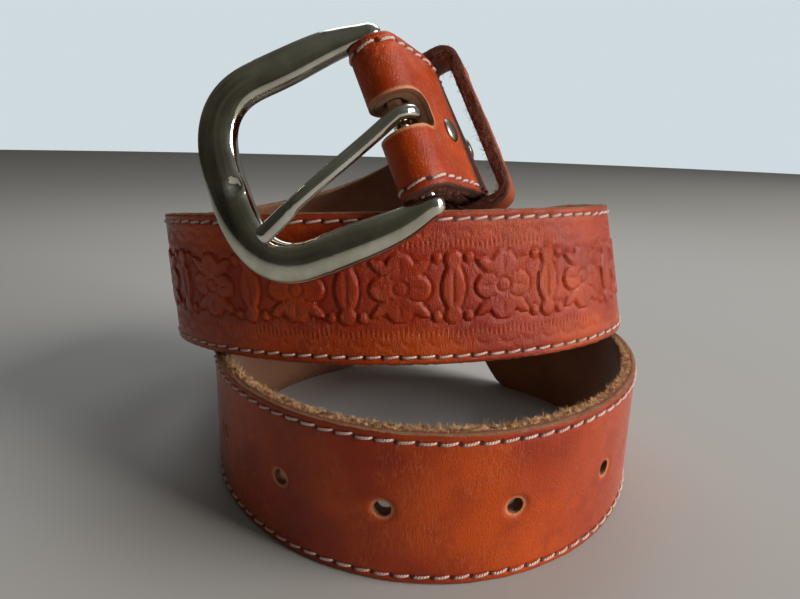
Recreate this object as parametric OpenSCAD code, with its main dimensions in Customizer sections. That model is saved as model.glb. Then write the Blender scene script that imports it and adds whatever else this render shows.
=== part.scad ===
// Leather dress belt, coiled in two and a bit turns on a table, with a single-prong buckle.
// The strap's tip lies inside the lower turn and the buckle leans on the front of the upper turn.

/* [Strap] */
// Width of the strap
strap_w = 40; // [39:0.25:40.25]
// Thickness of the leather
strap_t = 3.8; // [3.4:0.1:4]
// Bevel along the cut edges
edge_bevel = 0.6; // [0.3:0.1:1]
// Length of the pointed tip
tip_len = 14; // [10:1:20]
// Half width of the blunt end of the tip
tip_blunt = 4; // [2:0.5:8]
// Punched holes for the prong
hole_count = 5; // [3:1:5]
// Diameter of each punched hole
hole_d = 4.2; // [4:0.1:5]
// Distance from the tip to the first punched hole
first_hole = 119.8; // [100:0.2:125]
// Mean distance between neighbouring punched holes
hole_pitch = 29.6; // [25:0.1:30]

/* [Coil] */
// Half width of the lower turn, left to right
lower_rx = 65.8; // [65:0.1:67]
// Half depth of the lower turn, front to back
lower_ry = 66.3; // [66:0.1:68]
// Half width of the upper turn, left to right
upper_rx = 72; // [71:0.1:73]
// Half depth of the upper turn, front to back
upper_ry = 51.3; // [50:0.1:52]
// Height of the middle of the upper turn
upper_z = 60.6; // [60.6:0.1:62]
// Half width of the curl that leads to the buckle
curl_rx = 56.5; // [55:0.5:58]
// Half depth of the curl that leads to the buckle
curl_ry = 66; // [64:0.5:67]

/* [Buckle] */
// Length of the buckle frame from its bar to the outside of the bow
frame_len = 52.8; // [51:0.1:54]
// Half height of the buckle frame at its widest
frame_half = 29.5; // [29:0.1:30]
// Diameter of the bar that the strap folds round
bar_d = 4.2; // [3.8:0.1:4.2]
// Angle that the frame is folded back from the line of the strap
frame_fold = 71; // [69:0.5:71]
// Diameter of the prong's wire
prong_d = 3.4; // [3:0.1:3.4]
// Angle that the prong has slid sideways along the frame
prong_skew = 20.6; // [18:0.1:21]

/* [Keeper and rivets] */
// Width of the keeper, along the strap
keeper_w = 11; // [9:0.5:11]
// Thickness of the keeper's leather
keeper_t = 3.5; // [2.5:0.1:3.6]
// Room for the strap's tip between the keeper and the strap
keeper_gap = 4.3; // [4.1:0.1:4.5]
// Diameter of each rivet cap
rivet_d = 6.6; // [6:0.1:7]

/* [Hidden] */

// The origin is under the middle of the coil, on the table.
origin_shift = [9.1, -9.5, 0];

// Route of the strap: the winding angle w runs clockwise, seen from above, from the tip to the curl's end.
tip_angle = 62;
tip_tuck = 8.4;
tip_tuck_span = 72;
lower_egg = 3.7;
upper_mid = [-11.2, 9.9];
upper_tilt = [0.047, -0.098];
curl_egg = 6.5;
curl_end = -37;
curl_climb = 0.313;
table_press = 0.1;
full_turn = 360;
w_end = tip_angle + 2 * full_turn - curl_end;
// Winding angles over which one turn goes over into the next
rise_span = [282, 411];
shift_span = [352, 417];
curl_span = [587, 680];
climb_span = [547, w_end];

// The straight end of the strap, from the curl to the bar
bar_mid = [-9.75, -37.35, 106.05];
end_slope = 8.6;
end_lean = -29;
straight_len = 18;
fold_r = 4.5;
flap_len = 49;
flap_settle = 14;
layer_gap = 0.2;

// Hand-punched holes stray along the strap from an even spacing.
hole_stray = [0, 1.7, 2.9, 0.9, 0];

// Places along the strap, counted back from the bar, and the rivets' heights from its middle line
front_rivet_at = 15;
front_rivet_rise = -3.2;
keeper_at = 28;
rear_rivet_at = 43.2;
rear_rivet_rise = 0;

function smooth(x) = let (t = min(1, max(0, x))) t * t * t * (t * (6 * t - 15) + 10);
function share(w, span) = smooth((w - span[0]) / (span[1] - span[0]));
function mix(a, b, t) = a * (1 - t) + b * t;
function unit(v) = v / norm(v);

// Directions across a strap that runs along t: outward through its thickness, and up across its width
function out_dir(t, lean) =
    let (flat = unit([-t[1], t[0], 0]), up = cross(t, flat)) cos(lean) * flat - sin(lean) * up;
function up_dir(t, lean) =
    let (flat = unit([-t[1], t[0], 0]), up = cross(t, flat)) cos(lean) * up + sin(lean) * flat;

// The curl's last point sets the heading of the straight end.
end_heading = atan2(-curl_ry * cos(curl_end), sin(curl_end) * (curl_rx - 2 * curl_egg * cos(curl_end)));
end_t = [cos(end_heading) * cos(end_slope), sin(end_heading) * cos(end_slope), sin(end_slope)];
end_n = out_dir(end_t, end_lean);
end_u = up_dir(end_t, end_lean);
end_point = bar_mid + fold_r * end_n;
curl_stop = end_point - straight_len * end_t;
curl_mid = [curl_stop[0] - curl_rx * cos(curl_end) + curl_egg * pow(cos(curl_end), 2),
    curl_stop[1] - curl_ry * sin(curl_end)];

// Each turn seen from above, at plan angle a
function lower_plan(a, tuck) =
    [(lower_rx - tuck) * cos(a), (lower_ry - tuck) * sin(a) - lower_egg * pow(sin(a), 2)];
function upper_plan(a) = upper_mid + [upper_rx * cos(a), upper_ry * sin(a)];
function curl_plan(a) = curl_mid + [curl_rx * cos(a) - curl_egg * pow(cos(a), 2), curl_ry * sin(a)];
function lower_lean(a) = -2 - 0.7 * cos(a) - 2.3 * sin(a);
function upper_lean(a) = -5 - 8.2 * cos(a);
function plan(w) =
    let (a = tip_angle - w, tuck = tip_tuck * smooth(1 - w / tip_tuck_span))
    mix(mix(lower_plan(a, tuck), upper_plan(a), share(w, shift_span)), curl_plan(a), share(w, curl_span));
function lean_at(w) =
    let (a = tip_angle - w)
    mix(mix(lower_lean(a), upper_lean(a), share(w, rise_span)), end_lean, share(w, climb_span));
function height_at(w, p) =
    let (tilt = lower_lean(tip_angle - w))
    let (tilt_rise = (strap_t / 2 - edge_bevel) * abs(sin(tilt)))
    let (rest_z = strap_w / 2 * cos(tilt) - tilt_rise - table_press)
    let (turn_z = upper_z + upper_tilt * p, climb_z = curl_stop[2] - curl_climb * (w_end - w))
    mix(mix(rest_z, turn_z, share(w, rise_span)), climb_z, share(w, climb_span));

// The route as one parameter: the winding angle, then millimetres along the straight end
function route(q) = q > w_end
    ? curl_stop + (q - w_end) * end_t
    : let (p = plan(q)) [p[0], p[1], height_at(q, p)];
function lean_on(q) = q > w_end ? end_lean : lean_at(q);

step_deg = 2;
turn_steps = floor(w_end / step_deg);
params = concat([for (i = [0:turn_steps]) i * step_deg], [for (i = [1:straight_len]) w_end + i]);
marks = [for (q = params) route(q)];
mark_count = len(marks);
lengths = [
    for (i = 0, s = 0; i < mark_count;
            i = i + 1, s = i < mark_count ? s + norm(marks[i] - marks[i - 1]) : s)
        [s, params[i]]];
bar_at = lengths[len(lengths) - 1][0];
fold_len = PI * fold_r;
strap_len = bar_at + fold_len + flap_len;

// Place and directions [point, along, out, up] at distance s from the tip
function main_frame(s) =
    let (q = lookup(s, lengths), t = unit(route(q + 0.5) - route(q - 0.5)), lean = lean_on(q))
    [route(q), t, out_dir(t, lean), up_dir(t, lean)];
function fold_frame(s) =
    let (a = (s - bar_at) / fold_len * 180)
    [bar_mid + fold_r * (cos(a) * end_n + sin(a) * end_t), cos(a) * end_t - sin(a) * end_n,
        cos(a) * end_n + sin(a) * end_t, end_u];
function flap_frame(s) =
    let (back = s - bar_at - fold_len, f = main_frame(bar_at - back))
    let (drop = mix(2 * fold_r, strap_t + layer_gap, smooth(back / flap_settle)))
    [f[0] - drop * f[2], -f[1], -f[2], f[3]];
function strap_frame(s) =
    s <= bar_at ? main_frame(s) : s <= bar_at + fold_len ? fold_frame(s) : flap_frame(s);

// A sweep joins one outline per frame; each outline point is [out, up].
function swept(frames, outlines) =
    [for (i = [0:len(frames) - 1]) for (p = outlines[i])
        frames[i][0] + p[0] * frames[i][2] + p[1] * frames[i][3]];
module loft(points, rings, sides) {
    walls = [for (i = [0:rings - 2]) for (j = [0:sides - 1]) let (k = (j + 1) % sides)
        [i * sides + j, (i + 1) * sides + j, (i + 1) * sides + k, i * sides + k]];
    near_cap = [for (j = [0:sides - 1]) j];
    far_cap = [for (j = [0:sides - 1]) rings * sides - 1 - j];
    polyhedron(points = points, faces = concat([near_cap, far_cap], walls), convexity = 10);
}

// Distances along the strap of its cross-sections: close together at the tip and in the fold
ring_gap = 5;
flap_gap = 3.5;
flap_steps = flap_len / flap_gap;
fold_steps = 12;
tip_rings = [for (s = [0:2:tip_len]) s];
end_back = flap_len + 3;
turn_len = bar_at - end_back - tip_len;
turn_count = floor(turn_len / ring_gap);
turn_rings = [for (i = [1:turn_count]) tip_len + i / turn_count * turn_len];
under_rings = [for (i = [0:flap_steps - 1]) bar_at - flap_len + i * flap_gap];
fold_rings = [for (i = [0:fold_steps]) bar_at + i / fold_steps * fold_len];
flap_rings = [for (i = [1:flap_steps]) bar_at + fold_len + i * flap_gap];
thread_rings = concat(turn_rings, under_rings, fold_rings, flap_rings);
coil_rings = concat(tip_rings, turn_rings);
end_rings = concat([bar_at - end_back], under_rings, fold_rings, flap_rings);

function half_width(s) =
    s >= tip_len ? strap_w / 2 : tip_blunt + (strap_w / 2 - tip_blunt) * sin(90 * s / tip_len);
function strap_outline(h) =
    let (t = strap_t / 2, b = edge_bevel)
    [[-t, b - h], [b - t, -h], [t - b, -h], [t, b - h], [t, h - b], [t - b, h], [b - t, h], [-t, h - b]];

// Puts children in a frame: x along the strap, y out through its thickness, z up across its width
module in_frame(f) {
    multmatrix([for (r = [0:2]) [f[1][r], f[2][r], f[3][r], f[0][r]]]) children();
}
// A cylinder through the thickness of the strap
module drill(f, r, from, to) {
    in_frame(f) translate([0, from, 0]) rotate([-90, 0, 0]) cylinder(r = r, h = to - from, $fn = 48);
}

post_r = 1.5;
slot_half = 4.5;
slot_out = 5.4;
slot_in = 6.8;
slot_depth = 9;
function back_frame(back) = main_frame(bar_at - back);
function rivet_frame(back, rise) = let (f = back_frame(back)) [f[0] + rise * f[3], f[1], f[2], f[3]];
stack_t = strap_t + layer_gap;

// The leather between the first and the last of some cross-sections
module leather(rings) {
    frames = [for (s = rings) strap_frame(s)];
    loft(swept(frames, [for (s = rings) strap_outline(half_width(s))]), len(frames), 8);
}
module strap() {
    color("#b5532a") difference() {
        leather(coil_rings);
        for (i = [0:hole_count - 1])
            drill(strap_frame(first_hole + i * hole_pitch + hole_stray[i]), hole_d / 2, -4, 4);
        table_cut();
    }
}
// The same leather goes on round the bar and back on itself; it is cut off just before the flap's end.
module folded_end() {
    color("#b5532a") difference() {
        leather(end_rings);
        drill(rivet_frame(front_rivet_at, front_rivet_rise), post_r, -stack_t - 4, 4);
        drill(rivet_frame(rear_rivet_at, rear_rivet_rise), post_r, -stack_t - 4, 4);
        in_frame([bar_mid, end_t, end_n, end_u]) prong_slot();
    }
}
// The lower edge is pressed flat where it stands on the table.
module table_cut() {
    translate([-2 * lower_rx, -2 * lower_ry, -strap_w]) cube([4 * lower_rx, 4 * lower_ry, strap_w]);
}
// The slot runs round the fold, a little further on the side of the flap.
module prong_slot() {
    translate([-slot_out, 0, -slot_half]) cube([slot_out + slot_depth, slot_depth, 2 * slot_half]);
    translate([-slot_in, -slot_depth, -slot_half]) cube([slot_in + slot_depth, slot_depth, 2 * slot_half]);
}

// Sewn thread in a line along each edge, on the grain side
thread_w = 0.9;
thread_h = 0.35;
thread_inset = 2.2;
thread_lift = 0.08;
module thread_line(up) {
    frames = [for (s = thread_rings) strap_frame(s)];
    out = strap_t / 2 + thread_lift;
    mid = up * (strap_w / 2 - thread_inset);
    low = mid - thread_w / 2;
    high = mid + thread_w / 2;
    outline = [[out, low], [out + thread_h, low], [out + thread_h, high], [out, high]];
    loft(swept(frames, [for (f = frames) outline]), len(frames), 4);
}
module upper_edge_thread() { color("#e6d3c4") thread_line(1); }
module lower_edge_thread() { color("#e6d3c4") thread_line(-1); }

// Buckle space: x from the bar to the bow, y along the bar towards its lower end, z out of the front face
frame_x = cos(frame_fold) * end_t - sin(frame_fold) * end_n;
frame_z = cos(frame_fold) * end_n + sin(frame_fold) * end_t;
module in_buckle() {
    multmatrix([for (r = [0:2]) [frame_x[r], -end_u[r], frame_z[r], bar_mid[r]]]) children();
}

// Outline of the frame: a rounded bow and two legs that taper to the bar
bow_x = 30;
window_x = 28;
window_half = 19.2;
window_end = 41.8;
leg_inner = 20.4;
leg_back = 35;
leg_stop = 32.6;
front_h = 3.1;
back_h = 1.3;
bar_end_back_h = 2.5;
bar_end_from = 0.6;
bow_power = 2.5;
window_power = 3;
leg_power = 4;
section_power = 0.7;
leg_straight = 0.8;
function super(t, n) = pow(max(0, 1 - pow(abs(t), n)), 1 / n);
function bow_point(a, x0, len, half, n) =
    [x0 + len * pow(cos(a), 2 / n), half * sign(a) * pow(sin(abs(a)), 2 / n)];
function bow_ring(a) = [bow_point(a, bow_x, frame_len - bow_x, frame_half, bow_power),
    bow_point(a, window_x, window_end - window_x, window_half, window_power), back_h];
function back_depth(t) = mix(back_h, bar_end_back_h, smooth((t - bar_end_from) / (1 - bar_end_from)));
function leg_ring(side, t) =
    let (xo = bow_x - t * leg_stop, xi = mix(window_x, bow_x - leg_stop, t))
    [[xo, side * frame_half * super((bow_x - xo) / leg_back, leg_power)],
        [xi, side * mix(window_half, leg_inner, smooth(t / leg_straight))], back_depth(t)];
leg_steps = 14;
bow_steps = 12;
frame_rings = concat(
    [for (i = [leg_steps:-1:1]) leg_ring(-1, i / leg_steps)],
    [for (i = [-bow_steps:bow_steps]) bow_ring(i * 90 / bow_steps)],
    [for (i = [1:leg_steps]) leg_ring(1, i / leg_steps)]);
section_sides = 16;
function frame_section(ring) = [for (k = [0:section_sides - 1])
    let (a = -k * 360 / section_sides, mid = (ring[0] + ring[1]) / 2, half = (ring[0] - ring[1]) / 2)
    let (flat = mid + half * sign(cos(a)) * pow(abs(cos(a)), section_power))
    [flat[0], flat[1], (sin(a) > 0 ? front_h : ring[2]) * sign(sin(a)) * pow(abs(sin(a)), section_power)]];
rest_r = 2.4;
rest_z = 4.6;
rest_back = 2;
rest_len = 6;
module buckle_frame() {
    color("#8d8a82") in_buckle() difference() {
        loft([for (ring = frame_rings) each frame_section(ring)], len(frame_rings), section_sides);
        rotate([90, 0, 0]) cylinder(r = bar_d / 2, h = 4 * frame_half, center = true, $fn = 64);
        translate([window_end - rest_back, 0, rest_z]) rotate([0, 90, 0])
            cylinder(r = rest_r, h = rest_len, $fn = 48);
    }
}

bar_half = 24.6;
module buckle_bar() {
    color("#9a978f") in_buckle() rotate([90, 0, 0])
        cylinder(r = bar_d / 2, h = 2 * bar_half, center = true, $fn = 64);
}

// The prong: an eye round the bar, a straight shank and an end that dips to the frame
eye_clearance = 0.08;
eye_r = 5.7;
eye_half = 1.8;
shank_start_z = 3.95;
bend_swell = 0.03;
shank_len = 32.4;
tip_end_len = 44.4;
shank_z = 5.6;
prong_tip_z = 5.2;
module rod(a, b, r) {
    along = b - a;
    translate(a) rotate([0, acos(along[2] / norm(along)), atan2(along[1], along[0])])
        cylinder(r = r, h = norm(along), $fn = 32);
}
module prong() {
    r = prong_d / 2;
    start = [0, 0, shank_start_z];
    bend = [shank_len * cos(prong_skew), shank_len * sin(prong_skew), shank_z];
    end = [tip_end_len * cos(prong_skew), tip_end_len * sin(prong_skew), prong_tip_z];
    color("#a3a098") in_buckle() difference() {
        union() {
            rotate([90, 0, 0]) cylinder(r = eye_r, h = 2 * eye_half, center = true, $fn = 64);
            rod(start, bend, r);
            translate(bend) sphere(r = r + bend_swell, $fn = 32);
            rod(bend, end, r);
        }
        rotate([90, 0, 0])
            cylinder(r = bar_d / 2 + eye_clearance, h = 4 * eye_half, center = true, $fn = 64);
    }
}

// The keeper: a leather loop round both layers of the strap, closed by a wire staple
keeper_side = 1.1;
keeper_under = 1.5;
keeper_half = strap_w / 2 + keeper_side;
keeper_low = -strap_t / 2 - stack_t - keeper_under;
keeper_high = strap_t / 2 + keeper_gap;
inner_corner = 1.5;
staple_r = 0.45;
staple_half = 3.5;
module rounded_plate(low, high, half, r, h) {
    translate([0, 0, -h / 2]) linear_extrude(h) {
        translate([low + r, -half]) square([high - low - 2 * r, 2 * half]);
        translate([low, -half + r]) square([high - low, 2 * half - 2 * r]);
        for (x = [low + r, high - r], y = [r - half, half - r]) translate([x, y]) circle(r = r, $fn = 48);
    }
}
// Turns plate space (x out, y up, z along) into strap space (x along, y out, z up)
module to_strap() { multmatrix([[0, 0, 1, 0], [1, 0, 0, 0], [0, 1, 0, 0]]) children(); }
module keeper() {
    color("#7d3524") in_frame(back_frame(keeper_at)) difference() {
        to_strap() rounded_plate(keeper_low - keeper_t, keeper_high + keeper_t, keeper_half + keeper_t,
            inner_corner + keeper_t, keeper_w);
        to_strap() rounded_plate(keeper_low, keeper_high, keeper_half, inner_corner, keeper_w + 2);
        for (z = [-staple_half, staple_half]) translate([0, keeper_low + 1, z]) rotate([90, 0, 0])
            cylinder(r = staple_r, h = keeper_t + 2, $fn = 24);
    }
}
module keeper_staple() {
    color("#77736c") in_frame(back_frame(keeper_at)) translate([0, keeper_low - keeper_t, 0]) {
        for (z = [-staple_half, staple_half]) translate([0, keeper_t, z]) rotate([90, 0, 0])
            cylinder(r = staple_r, h = keeper_t + staple_r, $fn = 24);
        translate([0, -staple_r, -staple_half]) cylinder(r = staple_r, h = 2 * staple_half, $fn = 24);
    }
}

// Double-cap rivets: a domed cap on the face and a post with a flat head on the flap
cap_h = 1.1;
cap_rim = 0.3;
cap_lift = 0.1;
socket_depth = 0.5;
head_h = 0.7;
module dome(r, h, rim) {
    ball = (r * r + (h - rim) * (h - rim)) / (2 * (h - rim));
    rotate([-90, 0, 0]) {
        cylinder(r = r, h = rim, $fn = 64);
        intersection() {
            translate([0, 0, h - ball]) sphere(r = ball, $fn = 96);
            translate([0, 0, rim]) cylinder(r = r, h = h, $fn = 64);
        }
    }
}
module rivet_cap(back, rise) {
    color("#6f6a62") in_frame(rivet_frame(back, rise))
        translate([0, strap_t / 2 + cap_lift, 0]) difference() {
            dome(rivet_d / 2, cap_h, cap_rim);
            rotate([90, 0, 0]) cylinder(r = post_r, h = 2 * socket_depth, center = true, $fn = 48);
        }
}
module rivet_post(back, rise) {
    base = -strap_t / 2 - stack_t - cap_lift;
    color("#6f6a62") in_frame(rivet_frame(back, rise)) translate([0, base, 0]) rotate([-90, 0, 0]) {
        cylinder(r = post_r, h = strap_t + stack_t + 2 * cap_lift + socket_depth, $fn = 48);
        translate([0, 0, -head_h]) cylinder(r = rivet_d / 2, h = head_h, $fn = 64);
    }
}
module front_rivet_cap() { rivet_cap(front_rivet_at, front_rivet_rise); }
module front_rivet_post() { rivet_post(front_rivet_at, front_rivet_rise); }
module rear_rivet_cap() { rivet_cap(rear_rivet_at, rear_rivet_rise); }
module rear_rivet_post() { rivet_post(rear_rivet_at, rear_rivet_rise); }

translate(origin_shift) strap();
translate(origin_shift) folded_end();
translate(origin_shift) upper_edge_thread();
translate(origin_shift) lower_edge_thread();
translate(origin_shift) buckle_frame();
translate(origin_shift) buckle_bar();
translate(origin_shift) prong();
translate(origin_shift) keeper();
translate(origin_shift) keeper_staple();
translate(origin_shift) front_rivet_cap();
translate(origin_shift) front_rivet_post();
translate(origin_shift) rear_rivet_cap();
translate(origin_shift) rear_rivet_post();
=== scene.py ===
"""Leather belt, coiled on a pale floor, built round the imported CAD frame.

The strap's route and sizes repeat those of the CAD. Lengths are in millimetres until a mesh is made.
"""

import math

import bpy
import numpy as np
from mathutils import Matrix, Vector


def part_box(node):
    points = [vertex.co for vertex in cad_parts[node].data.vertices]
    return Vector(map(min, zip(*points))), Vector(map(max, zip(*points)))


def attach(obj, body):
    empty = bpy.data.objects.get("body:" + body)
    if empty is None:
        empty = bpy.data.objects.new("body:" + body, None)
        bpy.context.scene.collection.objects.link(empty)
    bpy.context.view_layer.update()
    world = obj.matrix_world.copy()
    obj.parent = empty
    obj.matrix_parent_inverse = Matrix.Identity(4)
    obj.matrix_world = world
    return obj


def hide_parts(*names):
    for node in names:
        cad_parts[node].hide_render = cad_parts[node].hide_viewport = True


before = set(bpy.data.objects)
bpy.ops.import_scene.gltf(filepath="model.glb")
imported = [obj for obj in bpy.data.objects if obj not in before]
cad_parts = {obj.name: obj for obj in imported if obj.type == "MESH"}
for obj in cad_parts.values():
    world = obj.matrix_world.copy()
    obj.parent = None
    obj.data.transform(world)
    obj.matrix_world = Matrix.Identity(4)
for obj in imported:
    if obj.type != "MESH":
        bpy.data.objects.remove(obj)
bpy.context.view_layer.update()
MM = 0.001


# ---- camera, light, floor
WALL_COLOUR, WALL_STRENGTH = (0.66, 0.74, 0.78, 1), 0.95
BRIGHT_SIDE, ROOM_STRENGTH = (0.80, 0.20, 0.52), 0.26
ROOM_TONES = (
    (0.04, (0.05, 0.045, 0.038, 1)),
    (0.34, (0.17, 0.16, 0.125, 1)),
    (0.48, (0.28, 0.275, 0.225, 1)),
    (0.66, (0.33, 0.34, 0.32, 1)),
    (0.95, (0.70, 0.73, 0.75, 1)),
)
CLUTTER_SCALE, CLUTTER_DETAIL, CLUTTER_SWING = 3.2, 2.0, 0.55
FLOOR_R, FLOOR_SIDES = 3.0, 64


def link(obj):
    bpy.context.scene.collection.objects.link(obj)
    return obj


def make_camera():
    """Close in front of the belt, tipped down and rolled a little; in metres and radians."""
    at, pitch, roll = (0.00079, -0.1904, 0.1017), 0.280, 0.031
    data = bpy.data.cameras.new("camera")
    data.sensor_width, data.lens = 36.0, 25.2
    data.clip_start, data.clip_end = 0.005, 20
    cam = link(bpy.data.objects.new("camera", data))
    ahead = Vector((0, math.cos(pitch), -math.sin(pitch)))
    level, rise = Vector((1, 0, 0)), Vector((0, math.sin(pitch), math.cos(pitch)))
    right = math.cos(roll) * level + math.sin(roll) * rise
    up = math.cos(roll) * rise - math.sin(roll) * level
    turn = Matrix((right, up, -ahead)).transposed().to_4x4()
    cam.matrix_world = Matrix.Translation(at) @ turn
    bpy.context.scene.camera = cam


def area_light(name, at, aim, size, power, colour):
    data = bpy.data.lights.new(name, "AREA")
    data.shape, data.size, data.size_y = "RECTANGLE", size[0], size[1]
    data.energy, data.color = power, colour
    lamp = link(bpy.data.objects.new(name, data))
    lamp.location = at
    lamp.rotation_euler = (Vector(aim) - Vector(at)).to_track_quat("-Z", "Y").to_euler()
    lamp.visible_camera = False


def put(tree, socket, value):
    """Links a node's output to the socket, or sets the socket to a number or a colour."""
    if isinstance(value, bpy.types.NodeSocket):
        tree.links.new(value, socket)
    elif value is not None:
        socket.default_value = value


def add_node(tree, kind, ins=(), **props):
    """A shader node with its properties and its inputs, which go by order or by name."""
    node = tree.nodes.new("ShaderNode" + kind)
    for key, value in props.items():
        setattr(node, key, value)
    for key, value in ins.items() if isinstance(ins, dict) else enumerate(ins):
        put(tree, node.inputs[key], value)
    return node


def make_world():
    """A pale wall for the camera; for the light, a dim room that is brighter towards its window."""
    world = bpy.data.worlds.new("room")
    bpy.context.scene.world = world
    world.use_nodes = True
    tree = world.node_tree
    tree.nodes.clear()

    def outputs(kind, ins=(), **props):
        return add_node(tree, kind, ins, **props).outputs

    where = outputs("TexCoord")["Generated"]
    # how far a direction leans to the bright side, from about 0 to 1
    lean = outputs("VectorMath", [where, BRIGHT_SIDE], operation="DOT_PRODUCT")["Value"]
    spread = outputs("Math", [lean, 0.5, 0.5], operation="MULTIPLY_ADD")[0]
    # furniture and window bars, seen only in reflections
    clutter = outputs("TexNoise", {"Vector": where, "Scale": CLUTTER_SCALE, "Detail": CLUTTER_DETAIL})["Fac"]
    jumble = outputs("Math", [clutter, CLUTTER_SWING, spread], operation="MULTIPLY_ADD")[0]
    centred = outputs("Math", [jumble, CLUTTER_SWING / 2], operation="SUBTRACT")[0]
    ramp = add_node(tree, "ValToRGB", [centred])
    stops = ramp.color_ramp.elements
    stops[0].position, stops[0].color = ROOM_TONES[0]
    stops[1].position, stops[1].color = ROOM_TONES[-1]
    for position, colour in ROOM_TONES[1:-1]:
        stops.new(position).color = colour
    lit = outputs("Background", {"Color": ramp.outputs[0], "Strength": ROOM_STRENGTH})[0]
    seen = outputs("Background", {"Color": WALL_COLOUR, "Strength": WALL_STRENGTH})[0]
    surface = outputs("MixShader", [outputs("LightPath")["Is Camera Ray"], lit, seen])[0]
    add_node(tree, "OutputWorld", {"Surface": surface})


def make_floor():
    mesh = bpy.data.meshes.new("floor")
    turns = [2 * math.pi * i / FLOOR_SIDES for i in range(FLOOR_SIDES)]
    ring = [(FLOOR_R * math.cos(a), FLOOR_R * math.sin(a), 0) for a in turns]
    mesh.from_pydata(ring, [], [list(range(FLOOR_SIDES))])
    floor = link(bpy.data.objects.new("floor", mesh))
    mesh.materials.append(Shader("floor_pale").set(Base_Color=rgb(0.46, 0.445, 0.42), Roughness=0.8))


# ---- the strap's route, as in the CAD
STRAP_W, STRAP_T, BEVEL = 40.0, 3.8, 0.6
TIP_LEN, TIP_BLUNT = 14.0, 4.0
FIRST_HOLE, HOLE_PITCH, HOLE_STRAYS = 119.8, 29.6, (0, 1.7, 2.9, 0.9, 0)
HOLES = [FIRST_HOLE + HOLE_PITCH * i + stray for i, stray in enumerate(HOLE_STRAYS)]
HOLE_R = 2.1
LOWER_R, UPPER_R, CURL_R = (65.8, 66.3), (72.0, 51.3), (56.5, 66.0)
UPPER_Z, TIP_ANGLE, TIP_TUCK, TIP_TUCK_SPAN = 60.6, 62.0, 8.4, 72.0
LOWER_EGG, CURL_EGG, CURL_END, CURL_CLIMB, TABLE_PRESS = 3.7, 6.5, -37.0, 0.313, 0.1
UPPER_MID, UPPER_TILT = np.array([-11.2, 9.9]), np.array([0.047, -0.098])
W_END = TIP_ANGLE + 720 - CURL_END
RISE, SHIFT_SPAN, CURL_SPAN, CLIMB = (282, 411), (352, 417), (587, 680), (547, W_END)
BAR_MID = np.array([-9.75, -37.35, 106.05])
END_SLOPE, END_LEAN, STRAIGHT, FOLD_R, FLAP_LEN = 8.6, -29.0, 18, 4.5, 49.0
FLAP_SETTLE, LAYER_GAP = 14.0, 0.2
FRAME_FOLD = 71.0
STITCH_PITCH, STITCH_U = 4.66, STRAP_W / 2 - 2.2
MARK_STEP = 2.0

rad = np.radians
lo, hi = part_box("buckle_bar")
ORIGIN_SHIFT = np.array((lo + hi) / 2) / MM - BAR_MID


def smooth(x):
    t = np.clip(x, 0, 1)
    return t ** 3 * (t * (6 * t - 15) + 10)


def share(w, span):
    return smooth((w - span[0]) / (span[1] - span[0]))


def mix(a, b, t):
    return a * (1 - t) + b * t


def unit(v):
    return v / np.linalg.norm(v, axis=-1, keepdims=True)


def across(t, lean):
    """Outward and upward directions of a strap that runs along t."""
    flat = unit(np.stack([-t[:, 1], t[:, 0], 0 * t[:, 0]], 1))
    up = np.cross(t, flat)
    c, s = np.cos(rad(lean))[:, None], np.sin(rad(lean))[:, None]
    return c * flat - s * up, c * up + s * flat


c_end, s_end = math.cos(rad(CURL_END)), math.sin(rad(CURL_END))
heading = math.atan2(-CURL_R[1] * c_end, s_end * (CURL_R[0] - 2 * CURL_EGG * c_end))
slope = rad(END_SLOPE)
END_T = np.array([math.cos(heading) * math.cos(slope), math.sin(heading) * math.cos(slope), math.sin(slope)])
END_N, END_U = (v[0] for v in across(END_T[None], np.array([END_LEAN])))
CURL_STOP = BAR_MID + FOLD_R * END_N - STRAIGHT * END_T
CURL_MID = np.array([
    CURL_STOP[0] - CURL_R[0] * c_end + CURL_EGG * c_end ** 2,
    CURL_STOP[1] - CURL_R[1] * s_end,
])


def lower_lean(a):
    """Lean of the lower turn in degrees, at each place round the coil."""
    return -2 - 0.7 * np.cos(a) - 2.3 * np.sin(a)


def turn_point(w):
    """Middle line of the coil at each angle wound from the tip, in degrees."""
    a = rad(TIP_ANGLE - w)
    c, s = np.cos(a), np.sin(a)
    tuck = TIP_TUCK * smooth(1 - w / TIP_TUCK_SPAN)
    lower = np.stack([(LOWER_R[0] - tuck) * c, (LOWER_R[1] - tuck) * s - LOWER_EGG * s ** 2], 1)
    upper = UPPER_MID + np.stack([UPPER_R[0] * c, UPPER_R[1] * s], 1)
    curl = CURL_MID + np.stack([CURL_R[0] * c - CURL_EGG * c ** 2, CURL_R[1] * s], 1)
    p = mix(mix(lower, upper, share(w, SHIFT_SPAN)[:, None]), curl, share(w, CURL_SPAN)[:, None])
    tilt = rad(lower_lean(a))
    rest = STRAP_W / 2 * np.cos(tilt) - (STRAP_T / 2 - BEVEL) * np.abs(np.sin(tilt)) - TABLE_PRESS
    z = mix(rest, UPPER_Z + p @ UPPER_TILT, share(w, RISE))
    z = mix(z, CURL_STOP[2] - CURL_CLIMB * (W_END - w), share(w, CLIMB))
    return np.column_stack([p, z])


def turn_lean(w):
    a = rad(TIP_ANGLE - w)
    upper = -5 - 8.2 * np.cos(a)
    return mix(mix(lower_lean(a), upper, share(w, RISE)), END_LEAN, share(w, CLIMB))


def route(q):
    """Middle line of the strap: q is the wound angle, and past its end the way along the straight."""
    straight = CURL_STOP + (q - W_END)[:, None] * END_T
    return np.where((q > W_END)[:, None], straight, turn_point(np.minimum(q, W_END)))


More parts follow.
